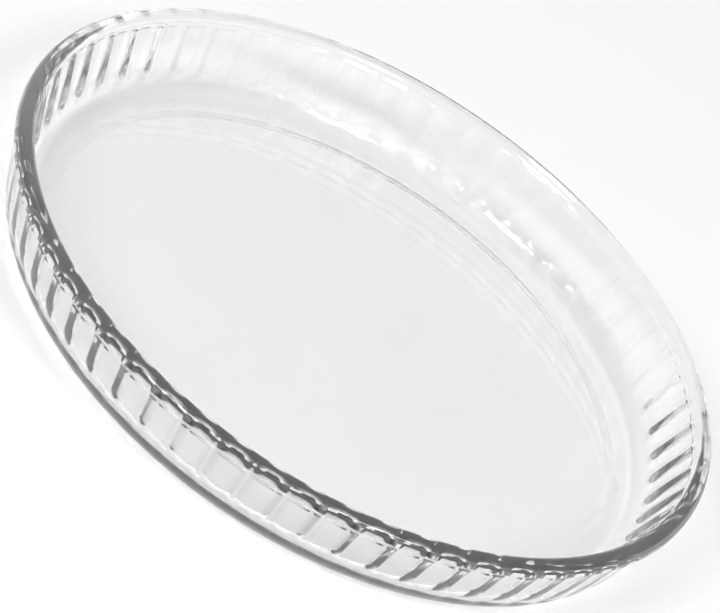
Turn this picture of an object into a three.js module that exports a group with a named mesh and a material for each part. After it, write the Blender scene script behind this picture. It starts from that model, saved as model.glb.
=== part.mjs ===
import * as THREE from 'three';

// A round baking dish of clear pressed glass with a fluted wall, in millimetres, +Z up.
// The origin is the middle of the underside, level with the foot ring that the dish stands on.

// Overall sizes
const RIM_DIAMETER = 280; // outer edge of the lip
const BASE_DIAMETER = 242.2; // outer edge of the flat foot ring
const HEIGHT = 34;

// Glass thickness
const WALL_THICKNESS = 5.45; // at the rim, from a groove outside to the ridge behind it inside
const WALL_DRAFT = 2; // degrees that the wall leans more inside than outside
const FLOOR_THICKNESS = 4.4;

// Rounded corners
const CORNER_RADIUS = 12; // underside to wall, outside
const COVE_RADIUS = 9; // floor to wall, inside

// Lip round the rim
const LIP_HEIGHT = 4.2;
const LIP_OVERHANG = 1.7; // beyond the line of the wall's grooves
const LIP_SLOPE = 2.5; // height over which its underside runs back to the wall
const LIP_OUTER_ROUNDING = 2.5;
const LIP_INNER_ROUNDING = 2.6;

// Foot ring under the base
const FOOT_WIDTH = 5.1;
const FOOT_HEIGHT = 0.8;
const FOOT_BEVEL = 1.2;

// Flutes: hollows inside with a sharp ridge between each two, and a slight swell behind them outside
const FLUTE_COUNT = 60;
const FLUTE_RISE = 0.3; // crest of a flute above the grooves, outside
const FLUTE_HOLLOW = 1.4; // depth of a flute below the ridges, inside
const OUTER_FLUTE_GAP = 0.5; // plain strip between the rounded corner and the flutes' lower tips
const OUTER_FLUTE_FADE = 4; // height over which a flute runs out to its tip
const INNER_FLUTE_FADE = 3;
const INNER_FLUTE_GAP = 0.2; // plain strip between the rounded lip and the flutes inside
const INNER_FLUTE_LEAD = 0.8; // height over which a flute starts there

// Mesh fineness
const STEPS_PER_FLUTE = 4;
const PLAIN_STEPS_PER_FLUTE = 2;
const ARC_STEPS = 3;

// The glass of the dish
const GLASS_COLOUR = '#eef2f1';
const GLASS_ROUGHNESS = 0.02;

const rimRadius = RIM_DIAMETER / 2;
const baseRadius = BASE_DIAMETER / 2;
const floorHeight = FOOT_HEIGHT + FLOOR_THICKNESS;
const fluteSteps = FLUTE_COUNT * STEPS_PER_FLUTE;
const plainSteps = FLUTE_COUNT * PLAIN_STEPS_PER_FLUTE;

// The outer wall is the straight line from inside the lip's lower edge that touches the rounded corner.
const cornerCentre = new THREE.Vector2(baseRadius, CORNER_RADIUS);
const underLip = new THREE.Vector2(rimRadius - LIP_OVERHANG, HEIGHT - LIP_HEIGHT);
const toUnderLip = underLip.clone().sub(cornerCentre);
const flare = Math.acos(CORNER_RADIUS / toUnderLip.length()) - toUnderLip.angle();
const innerFlare = flare + THREE.MathUtils.degToRad(WALL_DRAFT);
const outward = new THREE.Vector2(Math.cos(flare), -Math.sin(flare));

// Radius of the line of grooves outside, and of the line of ridges inside, at a height.
function grooveRadius(height) {
  return underLip.x - (underLip.y - height) * Math.tan(flare);
}

function ridgeRadius(height) {
  const ridgeAtRim = grooveRadius(HEIGHT) - WALL_THICKNESS / Math.cos(flare);
  return ridgeAtRim - (HEIGHT - height) * Math.tan(innerFlare);
}

// Centre of the lip's rounding inside, which touches the top of the rim and the line of ridges.
const shoulder = HEIGHT - LIP_INNER_ROUNDING;
const shoulderInset = LIP_INNER_ROUNDING / Math.cos(innerFlare);
const lipInnerCentre = new THREE.Vector2(ridgeRadius(shoulder) + shoulderInset, shoulder);

// One ring of the surface: its radius and height, and how the flutes lift it outwards.
function plainRing(radius, height, steps = plainSteps) {
  return { radius, height, steps, lift: 0, fade: 1 };
}

// fade runs from 0, where a flute has its full section, to 1, where it has run out.
function flutedRing(radiusAt, height, lift, fade) {
  return { radius: radiusAt(height), height, steps: fluteSteps, lift, fade };
}

// Plain rings along an arc, both ends included, with angles in radians from +r towards +z.
function arcRings(centre, radius, from, to) {
  return Array.from({ length: ARC_STEPS + 1 }, (_, step) => {
    const angle = from + ((to - from) * step) / ARC_STEPS;
    return plainRing(centre.x + radius * Math.cos(angle), centre.y + radius * Math.sin(angle));
  });
}

// Share of a flute's full depth across its width, phase -0.5 to 0.5: a parabola that its run-out
// cuts down, so that a flute ends in a round tip.
function fluteShare(phase, fade) {
  return Math.max(0, 1 - (2 * phase) ** 2 - fade ** 2);
}

// Underside: a shallow recess inside the foot ring.
function undersideRings() {
  const footInner = baseRadius - FOOT_WIDTH;
  return [
    plainRing(0, FOOT_HEIGHT, 1),
    plainRing(footInner - FOOT_BEVEL, FOOT_HEIGHT, FLUTE_COUNT),
    plainRing(footInner, 0),
  ];
}

// Outer wall: the rounded corner, then the flutes from their tips up to the lip.
function outerWallRings() {
  const corner = arcRings(cornerCentre, CORNER_RADIUS, -Math.PI / 2, -flare);
  const tips = corner.at(-1).height + OUTER_FLUTE_GAP;
  return [
    ...corner,
    flutedRing(grooveRadius, tips, FLUTE_RISE, 1),
    flutedRing(grooveRadius, tips + OUTER_FLUTE_FADE / 2, FLUTE_RISE, 0.5),
    flutedRing(grooveRadius, tips + OUTER_FLUTE_FADE, FLUTE_RISE, 0),
    flutedRing(grooveRadius, underLip.y - LIP_SLOPE, FLUTE_RISE, 0),
  ];
}

// Lip: a plain band that spreads from the wall over a sloped underside, rounded on both sides of its top.
function lipRings() {
  const outerCentre = new THREE.Vector2(rimRadius - LIP_OUTER_ROUNDING, HEIGHT - LIP_OUTER_ROUNDING);
  return [
    plainRing(rimRadius, underLip.y),
    ...arcRings(outerCentre, LIP_OUTER_ROUNDING, 0, Math.PI / 2),
    ...arcRings(lipInnerCentre, LIP_INNER_ROUNDING, Math.PI / 2, Math.PI - innerFlare),
  ];
}

// Inner wall: the hollow backs of the flutes, which run out above the cove, and the floor.
function innerWallRings() {
  const coveHeight = floorHeight + COVE_RADIUS;
  const coveTop = coveHeight - COVE_RADIUS * Math.sin(innerFlare);
  const coveInset = COVE_RADIUS * Math.cos(innerFlare);
  const coveCentre = new THREE.Vector2(ridgeRadius(coveTop) - coveInset, coveHeight);
  const fluteTop = shoulder + LIP_INNER_ROUNDING * Math.sin(innerFlare) - INNER_FLUTE_GAP;
  return [
    flutedRing(ridgeRadius, fluteTop, FLUTE_HOLLOW, 1),
    flutedRing(ridgeRadius, fluteTop - INNER_FLUTE_LEAD, FLUTE_HOLLOW, 0),
    flutedRing(ridgeRadius, coveTop + INNER_FLUTE_FADE, FLUTE_HOLLOW, 0),
    flutedRing(ridgeRadius, coveTop + INNER_FLUTE_FADE / 2, FLUTE_HOLLOW, 0.5),
    ...arcRings(coveCentre, COVE_RADIUS, -innerFlare, -Math.PI / 2),
    plainRing(0, floorHeight, 1),
  ];
}

// The points of one ring, anticlockwise from +X. A ring of one step is a point on the axis.
function ringPoints(ring) {
  return Array.from({ length: ring.steps }, (_, step) => {
    const turn = step / ring.steps;
    const phase = ((turn * FLUTE_COUNT) % 1) - 0.5;
    const lift = ring.lift * fluteShare(phase, ring.fade);
    const radius = ring.radius + lift * outward.x;
    const angle = turn * 2 * Math.PI;
    return [radius * Math.cos(angle), radius * Math.sin(angle), ring.height + lift * outward.y];
  });
}

// Triangles between two rings that may differ in their steps, with the outside on the right of
// lower to upper.
function stitch(lower, upper) {
  const triangles = [];
  const lowerSteps = lower.steps > 1 ? lower.steps : 0;
  const upperSteps = upper.steps > 1 ? upper.steps : 0;
  const lowerAt = (step) => lower.first + (step % lower.steps);
  const upperAt = (step) => upper.first + (step % upper.steps);
  let i = 0;
  let j = 0;
  while (i < lowerSteps || j < upperSteps) {
    const lowerIsNext = j === upperSteps || (i < lowerSteps && (i + 1) * upperSteps <= (j + 1) * lowerSteps);
    if (lowerIsNext) {
      triangles.push(lowerAt(i), lowerAt(i + 1), upperAt(j));
      i += 1;
    } else {
      triangles.push(lowerAt(i), upperAt(j + 1), upperAt(j));
      j += 1;
    }
  }
  return triangles;
}

// A closed body of rings, from the axis underneath, round the rim, and back to the axis on the floor.
function ringedGeometry(rings) {
  let first = 0;
  const placed = rings.map((ring) => {
    const at = { ...ring, first };
    first += ring.steps;
    return at;
  });
  const geometry = new THREE.BufferGeometry();
  const points = placed.flatMap(ringPoints).flat();
  geometry.setAttribute('position', new THREE.Float32BufferAttribute(points, 3));
  geometry.setIndex(placed.slice(1).flatMap((upper, k) => stitch(placed[k], upper)));
  geometry.computeVertexNormals();
  return geometry;
}

const glass = new THREE.MeshStandardMaterial({
  color: GLASS_COLOUR,
  roughness: GLASS_ROUGHNESS,
  metalness: 0,
  transparent: true,
  opacity: 0.35,
});

const glassDish = new THREE.Mesh(
  ringedGeometry([...undersideRings(), ...outerWallRings(), ...lipRings(), ...innerWallRings()]),
  glass,
);
glassDish.name = 'glass_dish';

const bakingDish = new THREE.Group();
bakingDish.add(glassDish);

export default bakingDish;
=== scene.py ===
# %% [markdown]
# # A fluted baking dish of clear pressed glass
# The real dish is one piece: a gob of glass is dropped into a mould and a plunger presses it into floor,
# fluted wall and lip at one stroke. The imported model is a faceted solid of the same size. Here a fine, smooth
# surface takes its place, because glass shows every facet twice: in what it mirrors and in what it bends.

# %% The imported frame
from math import radians

import bpy
import numpy as np
from mathutils import Matrix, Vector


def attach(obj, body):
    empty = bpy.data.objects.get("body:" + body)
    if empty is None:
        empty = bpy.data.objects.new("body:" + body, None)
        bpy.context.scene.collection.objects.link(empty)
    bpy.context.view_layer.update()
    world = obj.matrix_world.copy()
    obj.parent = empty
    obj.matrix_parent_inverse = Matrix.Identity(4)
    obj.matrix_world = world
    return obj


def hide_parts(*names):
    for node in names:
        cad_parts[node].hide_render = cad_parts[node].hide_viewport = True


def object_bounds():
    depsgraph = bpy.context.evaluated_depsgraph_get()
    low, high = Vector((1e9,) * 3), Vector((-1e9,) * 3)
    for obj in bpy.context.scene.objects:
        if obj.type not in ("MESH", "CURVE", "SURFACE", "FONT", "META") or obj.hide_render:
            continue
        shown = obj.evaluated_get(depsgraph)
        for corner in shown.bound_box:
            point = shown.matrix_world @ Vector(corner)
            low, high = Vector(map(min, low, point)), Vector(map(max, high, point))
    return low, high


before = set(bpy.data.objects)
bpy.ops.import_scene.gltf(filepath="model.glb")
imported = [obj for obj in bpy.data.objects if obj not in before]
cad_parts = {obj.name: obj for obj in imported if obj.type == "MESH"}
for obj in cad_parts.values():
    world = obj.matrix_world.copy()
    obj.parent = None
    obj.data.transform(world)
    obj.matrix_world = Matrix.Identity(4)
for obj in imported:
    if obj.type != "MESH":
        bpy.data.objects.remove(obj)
cad_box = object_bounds()
scene = bpy.context.scene
scene.view_settings.view_transform = "Standard"
print("CAD box in metres:", [tuple(round(v, 4) for v in corner) for corner in cad_box])

# %% [markdown]
# ## The outline of the section
# Cut the dish in half and the cut face is a thin outline: under the floor, round the outer corner, up the wall,
# over the lip and back down inside. It could be drawn as a curve, but a short list of corners, each with the
# radius that the mould maker gave it, says the same and can be changed by one number. Sizes are millimetres,
# as on a workshop drawing, and turn into metres at the very end.

# %% Driving sizes
MM = 0.001
RIM_RADIUS = (cad_box[1].x - cad_box[0].x) / 2 / MM
HEIGHT = (cad_box[1].z - cad_box[0].z) / MM

FLARE, INNER_FLARE = radians(15.0), radians(17.0)  # lean of the wall outside and inside
WALL_RADIUS = 133.0  # line of grooves outside, at the height given next
WALL_RADIUS_HEIGHT = 10.0
RIDGE_DEPTH = 5.45  # from the line of grooves outside to the line of ridges inside, at the rim
FLOOR_TOP = 5.2
CORNER_RADIUS = 12.0
COVE_RADIUS = 9.0
FOOT_INNER = 116.0
RECESS = 0.5
RECESS_BEVEL = 4.0
LIP_ROOT, LIP_UNDERSIDE = 27.3, 29.8  # the underside of the lip slopes out between these heights
LIP_OUTER_ROUNDING, LIP_INNER_ROUNDING = 2.5, 2.6
LIP_SOFTNESS = 0.7  # small rounding of the lip's lower edge
EDGE_SOFTNESS = 0.5  # rounding under the lip
FOOT_SOFTNESS = 2.5  # rounding of the foot's inner edges
ROW_CROWDING = 0.7  # how far the rows of points gather at the two ends of a straight run


def wall_line(height, inset=0.0):
    """Radius of a straight wall: it grows with height by the tangent of the lean, less an inset across it."""
    return WALL_RADIUS + (height - WALL_RADIUS_HEIGHT) * np.tan(FLARE) - inset / np.cos(FLARE)


print(f"rim {2 * RIM_RADIUS:.1f} mm across, {HEIGHT:.1f} mm high,",
      f"wall from {wall_line(0):.1f} to {wall_line(LIP_ROOT):.1f} mm")

# %% Rounded outline


def rounded_outline(corners):
    """A path through corners of (radius out, height, rounding, steps round it, steps to the next corner).

    At each corner the two straight runs are cut back by rounding times the tangent of half the turn, and an arc
    that touches both joins them. Steps along a run are a share s less a part of sin(2 pi s), so that they are
    small at both ends. Returns the points and, for each, the number of the corner that it follows.
    """
    points, run = [], []
    places = np.array([corner[:2] for corner in corners], float)
    ends = []
    for k, (_, _, rounding, steps, _) in enumerate(corners):
        if k in (0, len(corners) - 1):
            ends.append(places[k:k + 1])
            continue
        back = places[k - 1] - places[k]
        ahead = places[k + 1] - places[k]
        back /= np.hypot(*back)
        ahead /= np.hypot(*ahead)
        half = np.arccos(np.clip(back @ ahead, -1, 1)) / 2
        middle = (back + ahead) / np.hypot(*(back + ahead))
        centre = places[k] + middle * rounding / np.sin(half)
        sweep = (np.pi / 2 - half) * np.linspace(-1, 1, steps)[:, None]
        side = (back - middle * (back @ middle)) / np.sin(half)
        ends.append(centre - rounding * (np.cos(sweep) * middle + np.sin(sweep) * side))
    for k, arc in enumerate(ends):
        points.append(arc)
        run.append(np.full(len(arc), k))
        if k < len(ends) - 1 and corners[k][4] > 1:
            share = np.linspace(0, 1, corners[k][4] + 1)[1:-1, None]
            share = share - ROW_CROWDING * np.sin(2 * np.pi * share) / (2 * np.pi)
            points.append((1 - share) * arc[-1] + share * ends[k + 1][0])
            run.append(np.full(len(share), k + 0.5))
    return np.vstack(points), np.concatenate(run)


AXIS_GAP = 0.02
LIP_INNER = wall_line(HEIGHT, RIDGE_DEPTH)
WALL_TOE = LIP_INNER - (HEIGHT - FLOOR_TOP) * np.tan(INNER_FLARE)
corners = [
    (AXIS_GAP, RECESS, 0, 1, 6),
    (FOOT_INNER - RECESS_BEVEL, RECESS, FOOT_SOFTNESS, 5, 1),
    (FOOT_INNER, 0.0, FOOT_SOFTNESS, 5, 2),
    (wall_line(0.0), 0.0, CORNER_RADIUS, 14, 16),
    (wall_line(LIP_ROOT), LIP_ROOT, EDGE_SOFTNESS, 3, 2),
    (RIM_RADIUS, LIP_UNDERSIDE, LIP_SOFTNESS, 4, 2),
    (RIM_RADIUS, HEIGHT, LIP_OUTER_ROUNDING, 7, 2),
    (LIP_INNER, HEIGHT, LIP_INNER_ROUNDING, 12, 37),
    (WALL_TOE, FLOOR_TOP, COVE_RADIUS, 16, 6),
    (AXIS_GAP, FLOOR_TOP, 0, 1, 1),
]
OUTER_RUNS = (3, 3.5)
INNER_RUNS = (7, 7.5, 8)
outline, run = rounded_outline(corners)
print(f"outline of {len(outline)} points, lip {RIM_RADIUS - LIP_INNER:.1f} mm wide at the top")

# %% [markdown]
# ## The flutes
# The plunger presses sixty hollows into the wall, with a sharp ridge between each two, and the mould answers
# with a slight swell behind each, so that the wall is nearly smooth outside. They could be cut one by one and
# spun round, but a depth added across the wall does it in one step: a parabola over each sixtieth of the turn,
# which starts right under the rounded lip and dies away in a round tip above the floor.

# %% Flute shape
FLUTE_COUNT = 60
COLUMNS_PER_FLUTE = 12
RIDGE_CROWDING = 0.055  # columns gather at the ridges, where the surface turns fastest
RIDGE_SOFTNESS = 0.035  # share of a flute over which a ridge is rounded
FLUTE_RISE = 0.3
FLUTE_HOLLOW = 1.4
OUTER_TIP, OUTER_RUN_OUT = 4.0, 6.0  # height of the lower tips, and the height over which they run out
INNER_TIP, INNER_RUN_OUT = 8.0, 6.0
INNER_TOP, INNER_LEAD = 32.2, 0.8  # height where the hollows start, and the height over which they deepen


def flute_section(phase):
    """Share of a flute's depth across its width: e times (2 - e), a parabola, where e is the distance from the
    nearer ridge, rounded off as a hyperbola close to it, and is 1 in the middle."""
    distance = 0.5 - np.abs(phase)
    soft = np.hypot(distance, RIDGE_SOFTNESS) - RIDGE_SOFTNESS
    edge = soft / (np.hypot(0.5, RIDGE_SOFTNESS) - RIDGE_SOFTNESS)
    return edge * (2 - edge)


def run_out(height, tip, length):
    """Square of how far a height lies into the run-out that ends at the tip, 0 above it and 1 at the tip."""
    return np.maximum((tip + length - height) / length, 0) ** 2


phase = np.arange(COLUMNS_PER_FLUTE) / COLUMNS_PER_FLUTE - 0.5
phase = phase + RIDGE_CROWDING * np.sin(2 * np.pi * phase)
turn = (2 * np.pi / FLUTE_COUNT) * (np.arange(FLUTE_COUNT)[:, None] + phase + 0.5).ravel()
section = np.tile(flute_section(phase), FLUTE_COUNT)
print(f"{FLUTE_COUNT} flutes, {2 * np.pi * RIM_RADIUS / FLUTE_COUNT:.1f} mm apart at the rim")

# %% [markdown]
# ## The glass surface
# Every point of the outline goes once round the axis, and the flutes push it out along the outline's own normal.
# The grid of points closes round the turn, and a fan of triangles closes it at the axis, above and below, so the
# mesh is one watertight skin. Light has to cross that skin twice, so it must have no gaps and no doubled faces.

# %% Surface of revolution with flutes


def dish_surface(outline, run):
    """Grid of points (radius cos turn, radius sin turn, height), one row for each point of the outline.

    The lift is rise times section less the run-out, where that is positive, outwards on the outer wall and into
    the glass on the inner wall, along the normal of the outline (its tangent turned by a quarter)."""
    tangent = np.gradient(outline, axis=0)
    tangent /= np.hypot(*tangent.T)[:, None]
    normal = np.stack([tangent[:, 1], -tangent[:, 0]], axis=1)
    height = outline[:, 1:]
    outer = section - run_out(height, OUTER_TIP, OUTER_RUN_OUT)
    inner = section - run_out(height, INNER_TIP, INNER_RUN_OUT) - run_out(-height, -INNER_TOP, INNER_LEAD)
    lift = np.where(np.isin(run, OUTER_RUNS)[:, None], FLUTE_RISE * np.maximum(outer, 0), 0)
    lift = lift - np.where(np.isin(run, INNER_RUNS)[:, None], FLUTE_HOLLOW * np.maximum(inner, 0), 0)
    radius = outline[:, :1] + lift * normal[:, :1]
    return np.stack([radius * np.cos(turn), radius * np.sin(turn), height + lift * normal[:, 1:]], axis=2)


grid = dish_surface(outline, run)
rows, columns = grid.shape[:2]
poles = np.array([[0, 0, outline[0, 1]], [0, 0, outline[-1, 1]]])
points = np.vstack([grid.reshape(-1, 3), poles]) * MM
index = np.arange(rows * columns).reshape(rows, columns)
after = np.roll(index, -1, axis=1)
quads = np.stack([index[:-1], after[:-1], after[1:], index[1:]], axis=2).reshape(-1, 4)
under_fan = np.stack([np.full(columns, rows * columns), after[0], index[0]], axis=1)
floor_fan = np.stack([np.full(columns, rows * columns + 1), index[-1], after[-1]], axis=1)

mesh = bpy.data.meshes.new("glass_dish_surface")
mesh.from_pydata(points.tolist(), [], quads.tolist() + under_fan.tolist() + floor_fan.tolist())
mesh.update()
mesh.polygons.foreach_set("use_smooth", np.ones(len(mesh.polygons), bool))
dish = bpy.data.objects.new("dish_glass", mesh)
scene.collection.objects.link(dish)
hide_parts("glass_dish")
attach(dish, "root")
mesh.calc_loop_triangles()
print(f"glass surface: {len(points)} points, {len(mesh.loop_triangles)} triangles")

# %% [markdown]
# ## Clear pressed glass
# Soda-lime and borosilicate ovenware have a refractive index of about 1.5 and are nearly colourless. The body of
# the glass takes a little light along a long path, which is what turns its edges grey. A flawless sheet would
# look unreal, though: the plunger leaves a slow waviness, fire-polishing a fine one, and the foot ring is scuffed
# by shelves. These come from noise on Object coordinates, very faint, because glass magnifies them.

# %% Glass material
GLASS_TINT = (0.982, 0.985, 0.984, 1.0)
GLASS_BEND = 1.5
GLASS_DENSITY = 5.0  # light falls as exp(-density times metres of glass)
WAVE_SCALE, RIPPLE_SCALE, SCUFF_SCALE = 38.0, 160.0, 900.0
WAVE_DEPTH, RIPPLE_DEPTH = 0.00002, 0.000002
WAVE_DETAIL, SCUFF_DETAIL = 1.0, 3.0
SCUFF_TOP, SCUFF_ROUGHNESS = 0.0004, 0.35


def clear_pressed_glass():
    """A glass shader with slow and fine waviness as bump, and scuffs where the height is under SCUFF_TOP."""
    material = bpy.data.materials.new("clear_pressed_glass")
    material.use_nodes = True
    nodes, links = material.node_tree.nodes, material.node_tree.links
    shader = nodes["Principled BSDF"]
    shader.inputs["Base Color"].default_value = GLASS_TINT
    shader.inputs["Transmission Weight"].default_value = 1.0
    shader.inputs["IOR"].default_value = GLASS_BEND
    body = nodes.new("ShaderNodeVolumeAbsorption")
    body.inputs["Color"].default_value = (0.0, 0.0, 0.0, 1.0)
    body.inputs["Density"].default_value = GLASS_DENSITY
    links.new(body.outputs["Volume"], nodes["Material Output"].inputs["Volume"])
    place = nodes.new("ShaderNodeTexCoord").outputs["Object"]

    def noise(scale, detail):
        texture = nodes.new("ShaderNodeTexNoise")
        texture.inputs["Scale"].default_value = scale
        texture.inputs["Detail"].default_value = detail
        links.new(place, texture.inputs["Vector"])
        return texture.outputs["Fac"]

    normal = None
    for scale, depth in ((WAVE_SCALE, WAVE_DEPTH), (RIPPLE_SCALE, RIPPLE_DEPTH)):
        bump = nodes.new("ShaderNodeBump")
        bump.inputs["Distance"].default_value = depth
        links.new(noise(scale, WAVE_DETAIL), bump.inputs["Height"])
        if normal:
            links.new(normal, bump.inputs["Normal"])
        normal = bump.outputs["Normal"]
    links.new(normal, shader.inputs["Normal"])

    height = nodes.new("ShaderNodeSeparateXYZ")
    links.new(place, height.inputs["Vector"])
    foot = nodes.new("ShaderNodeMapRange")
    foot.inputs["From Min"].default_value = SCUFF_TOP
    foot.inputs["From Max"].default_value = 0.0
    links.new(height.outputs["Z"], foot.inputs["Value"])
    scuff = nodes.new("ShaderNodeMath")
    scuff.operation = "MULTIPLY"
    links.new(foot.outputs["Result"], scuff.inputs[0])
    links.new(noise(SCUFF_SCALE, SCUFF_DETAIL), scuff.inputs[1])
    polish = nodes.new("ShaderNodeMapRange")
    polish.inputs["To Max"].default_value = SCUFF_ROUGHNESS
    links.new(scuff.outputs["Value"], polish.inputs["Value"])
    links.new(polish.outputs["Result"], shader.inputs["Roughness"])
    return material


mesh.materials.append(clear_pressed_glass())
print("material:", mesh.materials[0].name)

# %% [markdown]
# ## The table
# A plain white table, large enough that every view ends on it. Its colour is that of white paper, and a small
# lift for rays that come from the camera or through the glass takes open table up to white, while the shadow
# of the dish stays as the light makes it.

# %% Table
TABLE_SIZE = 40.0
TABLE_DROP = 0.0002
PAPER_WHITE = (0.9, 0.9, 0.9, 1.0)
TABLE_LIFT = 0.1

half = TABLE_SIZE / 2
table_mesh = bpy.data.meshes.new("table_top")
table_mesh.from_pydata([(-half, -half, -TABLE_DROP), (half, -half, -TABLE_DROP),
                        (half, half, -TABLE_DROP), (-half, half, -TABLE_DROP)], [], [(0, 1, 2, 3)])
table = bpy.data.objects.new("table_top", table_mesh)
scene.collection.objects.link(table)


def white_table():
    """Matt white plus a faint glow, which only camera, glossy and transmission rays see."""
    material = bpy.data.materials.new("white_table")
    material.use_nodes = True
    nodes, links = material.node_tree.nodes, material.node_tree.links
    shader = nodes["Principled BSDF"]
    shader.inputs["Base Color"].default_value = PAPER_WHITE
    shader.inputs["Roughness"].default_value = 1.0
    shader.inputs["Specular IOR Level"].default_value = 0.0
    shader.inputs["Emission Color"].default_value = (1.0, 1.0, 1.0, 1.0)
    path = nodes.new("ShaderNodeLightPath")
    seen = path.outputs["Is Camera Ray"]
    for ray in ("Is Glossy Ray", "Is Transmission Ray"):
        either = nodes.new("ShaderNodeMath")
        either.operation = "MAXIMUM"
        links.new(seen, either.inputs[0])
        links.new(path.outputs[ray], either.inputs[1])
        seen = either.outputs["Value"]
    lift = nodes.new("ShaderNodeMath")
    lift.operation = "MULTIPLY"
    lift.inputs[1].default_value = TABLE_LIFT
    links.new(seen, lift.inputs[0])
    links.new(lift.outputs["Value"], shader.inputs["Emission Strength"])
    return material


table_mesh.materials.append(white_table())
print(f"table {TABLE_SIZE:.0f} m across")

# %% [markdown]
# ## The light
# Clear glass is drawn by what it bends and mirrors. In a room of even, modest grey the edges of the glass show as
# grey lines on the white table. A pale wall on the right lights one side of every hollow, so that each
# ridge divides a light face from a dark one. Two softboxes, one at the front left and one at the right, add the
# light that makes the table white. They stand well back, so that the table is lit evenly.

# %% Room and softboxes
ROOM_LEVEL, SIDE_LEVEL = 0.5, 1.4
SIDE_FROM, SIDE_TO = -0.4, 0.9  # the pale wall grows over this range of the direction's x
SIDE_TOP, SIDE_FULL = 0.55, 0.2  # and fades between these shares of the way up
SOFTBOX_SIZE, SOFTBOX_DISTANCE = 1.2, 4.0
SOFTBOXES = {"softbox_front": (-30.0, 38.0, 56.0), "softbox_right": (45.0, 50.0, 40.0)}

world = bpy.data.worlds.new("studio")
world.use_nodes = True
scene.world = world
nodes, links = world.node_tree.nodes, world.node_tree.links
direction = nodes.new("ShaderNodeSeparateXYZ")
links.new(nodes.new("ShaderNodeTexCoord").outputs["Generated"], direction.inputs["Vector"])


def soft_step(axis, start, full, level):
    """Rises from 0 to a level as the direction's part along an axis goes from start to full: 3 s^2 - 2 s^3."""
    step = nodes.new("ShaderNodeMapRange")
    step.interpolation_type = "SMOOTHSTEP"
    step.inputs["From Min"].default_value = start
    step.inputs["From Max"].default_value = full
    step.inputs["To Max"].default_value = level
    links.new(direction.outputs[axis], step.inputs["Value"])
    return step.outputs["Result"]


strength = nodes.new("ShaderNodeMath")
strength.operation = "MULTIPLY_ADD"
links.new(soft_step("X", SIDE_FROM, SIDE_TO, SIDE_LEVEL), strength.inputs[0])
links.new(soft_step("Z", SIDE_TOP, SIDE_FULL, 1.0), strength.inputs[1])
strength.inputs[2].default_value = ROOM_LEVEL
background = nodes["Background"]
background.inputs["Color"].default_value = (1.0, 1.0, 1.0, 1.0)
links.new(strength.outputs["Value"], background.inputs["Strength"])
for name, (around, above, watts) in SOFTBOXES.items():
    light = bpy.data.lights.new(name, "AREA")
    light.size = SOFTBOX_SIZE
    light.energy = watts
    softbox = bpy.data.objects.new(name, light)
    softbox.matrix_world = (Matrix.Rotation(radians(around), 4, "Z") @ Matrix.Rotation(radians(90 - above), 4, "X")
                            @ Matrix.Translation((0, 0, SOFTBOX_DISTANCE)))
    scene.collection.objects.link(softbox)
    print(f"{name}: {around:.0f} degrees round from the front, {above:.0f} up, {watts:.0f} W")

# %% [markdown]
# ## Light paths through glass
# A ray that meets the lip can run round inside it as in a light pipe, so it is given plenty of bounces, and the
# glass itself dims it. The renderer's blur for mirrored light and its limit on bright paths are both off, because
# they would darken the table under the glass.

# %% Bounces
GLASS_BOUNCES = 48
scene.cycles.max_bounces = GLASS_BOUNCES
scene.cycles.transmission_bounces = GLASS_BOUNCES
scene.cycles.glossy_bounces = GLASS_BOUNCES
scene.cycles.blur_glossy = 0.0
scene.cycles.sample_clamp_indirect = 0.0
print("bounces:", scene.cycles.max_bounces)

# %% [markdown]
# ## The camera
# The picture is taken from 31 degrees above the table through a long lens, with the camera rolled well over, so
# that the dish slants down across the picture from left to right. The rim is a circle, which fixes the tilt and
# the lens; the spacing of the flutes fixes the turn about the axis. The camera stands back along its axis from
# the rim's middle, and is then aimed by a small pan and tilt.

# %% Camera
LENS, SENSOR = 182.99, 36.0
DISTANCE = 1.2952
ELEVATION, TURN, ROLL = 31.2265, -1.1787, 34.6009
PAN, TILT = 0.0810, 0.5880
AIM_HEIGHT = 0.03378

camera = bpy.data.objects.new("camera", bpy.data.cameras.new("camera"))
scene.collection.objects.link(camera)
scene.camera = camera
camera.data.lens = LENS
camera.data.sensor_width = SENSOR
stand = Matrix.Rotation(radians(TURN), 4, "Z") @ Matrix.Rotation(radians(90 - ELEVATION), 4, "X")
aim = (Matrix.Rotation(radians(-PAN), 4, "Y") @ Matrix.Rotation(radians(-TILT), 4, "X")
       @ Matrix.Rotation(radians(ROLL), 4, "Z"))
camera.matrix_world = (Matrix.Translation((0, 0, AIM_HEIGHT)) @ stand
                       @ Matrix.Translation((0, 0, DISTANCE)) @ aim)
print("camera at", [round(v, 3) for v in camera.matrix_world.translation])

# %% [markdown]
# ## Sizes
# The glass must fill the imported model's box and not pass it. The imported box is printed near the top;
# this cell only brings the scene up to date.

# %% Boxes
bpy.context.view_layer.update()
